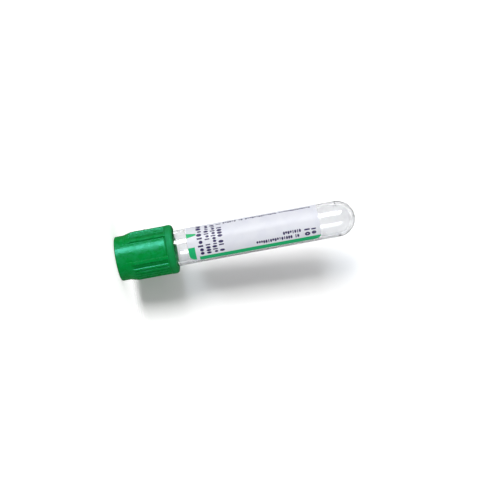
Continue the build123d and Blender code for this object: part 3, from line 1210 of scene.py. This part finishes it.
@dataclass
class RibbedShield:
    """The plastic shield: collar, ribs, round shoulder, flat top with a port, and its hollow."""

    overlap: float = 10.7
    skirt_radius: float = 7.15
    collar_radius: float = 8.7
    collar_height: float = 2.6
    collar_round: float = 1.1
    collar_blend: float = 0.6
    lip_round: float = 0.3
    shoulder: float = 3.1
    top_round: float = 0.5
    shelf_station: float = 77.22
    shelf: float = 1.4
    shelf_hole: float = 3.05
    head_seat: float = 4.15
    head_seat_top: float = 81.07
    well_radius: float = 5.05
    relief_radius: float = 7.0
    top_wall: float = 1.4
    port_radius: float = 3.8
    port_round: float = 0.3
    rule: RibRule = field(default_factory=RibRule)
    piece: Piece = field(
        default_factory=lambda: Piece("ribbed_shield", Body.CLOSURE, Slot.SHIELD, "shield")
    )

    def outline(self, tube: ClearTube) -> tuple[list[Point], list[float]]:
        """The blank's closed section and how far each of its points is ribbed.

        Args:
            tube: The tube that the shield goes over.

        Returns:
            The points, and a share from 0 to 1 for each.
        """
        lip = tube.length - self.overlap
        collar_top = lip + self.collar_height
        top = self.rule.ramp_top + self.shoulder
        blank = self.rule.panel_radius
        skirt = [
            Corner(self.skirt_radius, lip + 2 * self.lip_round),
            Corner(self.skirt_radius + self.lip_round, lip, 0.12),
            Corner(self.collar_radius, lip, self.collar_round),
            Corner(self.collar_radius, collar_top - 0.25, 0.2),
            Corner(blank, collar_top),
        ]
        outside = rounded(skirt, 8)[1:-1]
        shares = [0.0] * len(outside)
        for share in np.linspace(0, 1, 7):
            station = collar_top - self.collar_blend / 3 + self.collar_blend * float(share)
            outside.append((self.collar_radius, station))
            shares.append(float(smooth_step(share, 0, 1)))
        ribs = np.concatenate(
            (
                np.linspace(collar_top + 0.5, self.rule.ramp_foot - 0.5, 12),
                np.linspace(self.rule.ramp_foot - 0.3, self.rule.ramp_top + 0.3, 26),
            )
        )
        outside += [(blank, float(station)) for station in ribs]
        shares += [1.0] * len(ribs)
        hollow = [
            Corner(blank, self.rule.ramp_top + 0.5),
            Corner(blank, top, self.top_round),
            Corner(self.port_radius + self.port_round, top, 0.08),
            Corner(self.port_radius, top - self.port_round, 0.08),
            Corner(self.port_radius, self.head_seat_top, 0.05),
            Corner(self.head_seat, self.head_seat_top, 0.05),
            Corner(self.head_seat, self.shelf_station + self.shelf, 0.05),
            Corner(self.shelf_hole, self.shelf_station + self.shelf, 0.08),
            Corner(self.shelf_hole, self.shelf_station, 0.08),
            Corner(self.well_radius, self.shelf_station, 0.08),
            Corner(self.well_radius, top - self.top_wall, 0.1),
            Corner(self.relief_radius, top - self.top_wall, 0.1),
            Corner(self.relief_radius, self.shelf_station, 0.05),
            Corner(self.skirt_radius, self.shelf_station, 0.05),
            Corner(self.skirt_radius, lip + 2 * self.lip_round),
        ]
        inside = rounded(hollow, 4)
        return outside + inside, shares + [0.0] * len(inside)

    def build(self, axis: TubeAxis, tube: ClearTube, finish: ShieldPlastic) -> bpy.types.Object:
        """Makes the shield.

        Args:
            axis: The tube's axis.
            tube: The tube that the shield goes over.
            finish: Its plastic.

        Returns:
            The piece's object.
        """
        outline, shares = self.outline(tube)
        angles = self.rule.columns()
        skin = turned(outline, angles, closed=True)
        blank = skin.mesh("shield_blank")
        skin.set_point_values(blank, "ribbed", np.repeat(shares, len(angles)))
        material = finish.make()
        mesh = self._shaped(blank, material)
        return self.piece.place(mesh, axis, material)

    def finish(self, axis: TubeAxis, tube: ClearTube) -> ShieldPlastic:
        """Tells the plastic where the ribs and the collar lie.

        Args:
            axis: The tube's axis.
            tube: The tube that the shield goes over.

        Returns:
            The finish.
        """
        collar_top = tube.length - self.overlap + self.collar_height
        return ShieldPlastic(
            panel_radius=self.rule.panel_radius,
            crest_radius=self.rule.crest_radius,
            ramp_head=axis.point(0, 0, self.rule.ramp_foot).z / MM,
            collar_foot=axis.point(0, 0, collar_top).z / MM,
        )

    def _shaped(self, blank: bpy.types.Mesh, material: bpy.types.Material) -> bpy.types.Mesh:
        """Runs the rib rule on the blank.

        Args:
            blank: The turned mesh with its `ribbed` attribute.
            material: The finish that the tree sets.

        Returns:
            The plain mesh.
        """
        obj = bpy.data.objects.new("shield_blank", blank)
        bpy.context.scene.collection.objects.link(obj)
        modifier = obj.modifiers.new("ribs", "NODES")
        modifier.node_group = self.rule.tree(material)
        values = self.rule.modifier_inputs()
        for item in modifier.node_group.interface.items_tree:
            if item.in_out == "INPUT" and item.name in values:
                modifier[item.identifier] = float(values[item.name])
        bpy.context.view_layer.update()
        shaped = obj.evaluated_get(bpy.context.evaluated_depsgraph_get())
        mesh = bpy.data.meshes.new_from_object(shaped)
        mesh.name = self.piece.name
        obj.modifiers.remove(modifier)
        bpy.data.objects.remove(obj)
        mesh.attributes.remove(mesh.attributes["ribbed"])
        return mesh


# ---------------------------------------------------------------- studio


@dataclass(frozen=True)
class StudioWhite:
    """Matt white paper that keeps a shadow and looks white where it has none."""

    name: str
    glow: float
    fade: float = 0.0
    colour: Colour = (0.9, 0.9, 0.9)

    def make(self) -> bpy.types.Material:
        """Builds the finish. With a fade, it shows only from its front, fades out over that many
        millimetres above the floor, and stops no light.

        Returns:
            The material.
        """
        nodes = Shader(self.name)
        seen = nodes.either(*ray_kinds(nodes))
        matt = nodes.node("ShaderNodeBsdfDiffuse", inputs={"Color": (*self.colour, 1.0)})
        glow = nodes.node("ShaderNodeEmission", inputs={"Strength": seen * self.glow})
        paper = nodes.node("ShaderNodeAddShader", inputs={0: matt, 1: glow})
        if not self.fade:
            return nodes.surface(paper)
        back = nodes.node("ShaderNodeNewGeometry", output="Backfacing")
        height = nodes.node("ShaderNodeSeparateXYZ", inputs={0: nodes.coordinates()}, output="Z")
        nothing = nodes.node("ShaderNodeBsdfTransparent")
        shown = seen * (1 - back) * nodes.step(height, 0.0, self.fade)
        faded = nodes.node("ShaderNodeMixShader", inputs={0: shown, 1: nothing, 2: paper})
        return nodes.surface(faded)


def ray_kinds(nodes: Tree) -> list[Value]:
    """Tells rays apart.

    Args:
        nodes: The tree that asks.

    Returns:
        Three masks: rays from the camera, rays in gloss, and rays through clear plastic.
    """
    path = nodes.node("ShaderNodeLightPath").socket.node
    names = ("Is Camera Ray", "Is Glossy Ray", "Is Transmission Ray")
    return [Value(nodes, path.outputs[name]) for name in names]


class Lights(Enum):
    """What a softbox lights: matt surfaces, or only what mirrors it."""

    MATT = "matt"
    GLOSS = "gloss"


@dataclass(frozen=True)
class Softbox:
    """A soft rectangular lamp that faces the tube.

    Its turn about the axis is in degrees, its station in millimetres, and its reach from the
    axis, its length along it and its width are in metres.
    """

    name: str
    turn: float
    reach: float
    station: float
    length: float
    width: float
    power: float
    lights: Lights

    def build(self, axis: TubeAxis) -> bpy.types.Object:
        """Adds the lamp.

        Args:
            axis: The tube's axis.

        Returns:
            The lamp's object.
        """
        turn = math.radians(self.turn)
        away = axis.direction(math.cos(turn), math.sin(turn), 0)
        lamp = bpy.data.lights.new(self.name, "AREA")
        lamp.shape = "RECTANGLE"
        lamp.size, lamp.size_y = self.width, self.length
        lamp.energy = self.power
        box = bpy.data.objects.new(self.name, lamp)
        bpy.context.scene.collection.objects.link(box)
        place = axis.point(0, 0, self.station) + away * self.reach
        box.matrix_world = looking(place, away, axis.direction(0, 0, -1))
        box.visible_diffuse = self.lights is Lights.MATT
        box.visible_glossy = self.lights is Lights.GLOSS
        log.info("%s: %.1f W", self.name, self.power)
        return box


@dataclass
class Studio:
    """The pale floor, a pale sheet behind the tube, the soft light and the camera."""

    floor_size: float = 3.0
    floor_glow: float = 0.4
    sheet_size: float = 1.6
    sheet_glow: float = 0.04
    sheet_colour: Colour = (0.57, 0.57, 0.57)
    sheet_lean: float = 6.0
    sheet_turn: float = 16.4
    sheet_gap: float = 16.5
    sheet_fade: float = 5.0
    ambient: float = 0.7
    room_gloss: float = 0.1
    room_through: float = 0.85
    lens: float = 63.5
    camera_reach: float = 299.6
    camera_station: float = 41.0
    aim_left: float = -1.165
    aim_station: float = 41.4
    camera_roll: float = 79.56
    softboxes: tuple[Softbox, ...] = (
        Softbox("key_light", 44.0, 0.8, 230.0, 1.4, 0.5, 5.0, Lights.MATT),
        Softbox("strip_light", 41.0, 0.6, 204.0, 1.1, 0.24, 9.0, Lights.GLOSS),
        Softbox("back_light", 170.0, 0.9, 41.0, 0.7, 0.7, 2.0, Lights.MATT),
    )
    sheet_light: Softbox = Softbox("sheet_light", 41.0, 0.8, 150.0, 0.35, 0.3, 10.2, Lights.MATT)

    def build(self, axis: TubeAxis) -> None:
        """Makes the whole studio.

        Args:
            axis: The tube's axis.
        """
        self._floor()
        sheet = self._sheet(axis)
        self._light_only(self.sheet_light.build(axis), sheet)
        self._world()
        for softbox in self.softboxes:
            softbox.build(axis)
        self._camera(axis)

    def _floor(self) -> None:
        """The floor. The softbox reaches below it, and its light and gloss pass through."""
        half = self.floor_size / 2
        corners = [(-half, -half, 0), (half, -half, 0), (half, half, 0), (-half, half, 0)]
        floor = self._paper("floor", corners, StudioWhite("pale_floor", self.floor_glow))
        floor.visible_shadow = False
        floor.visible_glossy = False
        floor.visible_transmission = False

    def _sheet(self, axis: TubeAxis) -> bpy.types.Object:
        """The sheet close behind the tube, which its shadow falls on. It leans back a little.

        Args:
            axis: The tube's axis.

        Returns:
            The sheet's object.
        """
        turn, half = math.radians(self.sheet_turn), self.sheet_size / 2
        front = axis.direction(math.cos(turn), math.sin(turn), 0)
        side = Vector((0, 0, 1)).cross(front)
        foot = axis.point(0, 0, 0) * Vector((1, 1, 0)) - front * self.sheet_gap * MM
        lean = math.radians(self.sheet_lean)
        high = (Vector((0, 0, math.cos(lean))) - front * math.sin(lean)) * self.sheet_size
        near, far = foot - side * half, foot + side * half
        corners = [near, far, far + high, near + high]
        paper = StudioWhite("pale_backdrop", self.sheet_glow, self.sheet_fade, self.sheet_colour)
        sheet = self._paper("backdrop", corners, paper)
        sheet.visible_glossy = False
        return sheet

    @staticmethod
    def _light_only(lamp: bpy.types.Object, target: bpy.types.Object) -> None:
        """Makes a lamp light one object and nothing else.

        Args:
            lamp: The lamp's object.
            target: What it lights.
        """
        receivers = bpy.data.collections.new(f"lit_by_{lamp.name}")
        receivers.objects.link(target)
        lamp.light_linking.receiver_collection = receivers

    @staticmethod
    def _paper(name: str, corners: Sequence[Sequence[float]], finish: StudioWhite) -> bpy.types.Object:
        """Adds one flat piece of paper to the stage.

        Args:
            name: Its name.
            corners: Its four corners in metres, in order.
            finish: Its white.

        Returns:
            The paper's object.
        """
        mesh = bpy.data.meshes.new(name)
        mesh.from_pydata(corners, [], [(0, 1, 2, 3)])
        mesh.materials.append(finish.make())
        paper = bpy.data.objects.new(name, mesh)
        bpy.context.scene.collection.objects.link(paper)
        return paper

    def _world(self) -> None:
        """Even soft light, and a white background for the rays that show it."""
        world = bpy.data.worlds.new("studio")
        world.use_nodes = True
        bpy.context.scene.world = world
        nodes = Tree(world.node_tree)
        camera, gloss, through = ray_kinds(nodes)
        strength = self.ambient + camera * (1 - self.ambient)
        strength = strength + gloss * (1 - through) * (self.room_gloss - self.ambient)
        strength = strength + through * (self.room_through - self.ambient)
        inputs = {"Color": (1.0, 1.0, 1.0, 1.0), "Strength": strength}
        light = nodes.node("ShaderNodeBackground", inputs=inputs)
        nodes.node("ShaderNodeOutputWorld", inputs={"Surface": light})

    def _camera(self, axis: TubeAxis) -> None:
        """The camera square to the tube, rolled so that the tube lies across its view.

        Args:
            axis: The tube's axis.
        """
        data = bpy.data.cameras.new("camera")
        data.lens = self.lens
        data.sensor_width = 36.0
        data.clip_start, data.clip_end = 0.01, 20.0
        camera = bpy.data.objects.new("camera", data)
        bpy.context.scene.collection.objects.link(camera)
        place = axis.point(self.camera_reach, 0, self.camera_station)
        aim = axis.point(0, self.aim_left, self.aim_station)
        back = (place - aim).normalized()
        roll = math.radians(self.camera_roll)
        up = axis.direction(0, math.sin(roll), -math.cos(roll))
        camera.matrix_world = looking(place, back, up)
        bpy.context.scene.camera = camera


def looking(place: Vector, back: Vector, up: Vector) -> Matrix:
    """Turns a lamp or camera.

    Args:
        place: Where it is.
        back: The unit direction that it faces away from.
        up: Roughly where its top points.

    Returns:
        Its matrix.
    """
    right = up.cross(back).normalized()
    top = back.cross(right)
    turn = Matrix((right, top, back)).transposed().to_4x4()
    return Matrix.Translation(place) @ turn


def main() -> None:
    """Builds every piece in order, then the studio."""
    logging.basicConfig(level=logging.INFO, format="%(message)s")
    tube, shield = ClearTube(), RibbedShield()
    shield_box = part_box("shield")
    lip_height = shield_box[1].z
    axis = TubeAxis(lip_height + (tube.length - shield.overlap) * MM)
    tube.build(axis, ClearPlastic())
    FilmLabel().build(axis, tube, LabelPrint())
    RubberStopper().build(axis, tube, StopperRubber())
    shield.build(axis, tube, shield.finish(axis, tube))
    Studio().build(axis)
    bpy.context.scene.view_settings.view_transform = "Standard"


if __name__ == "__main__":
    main()
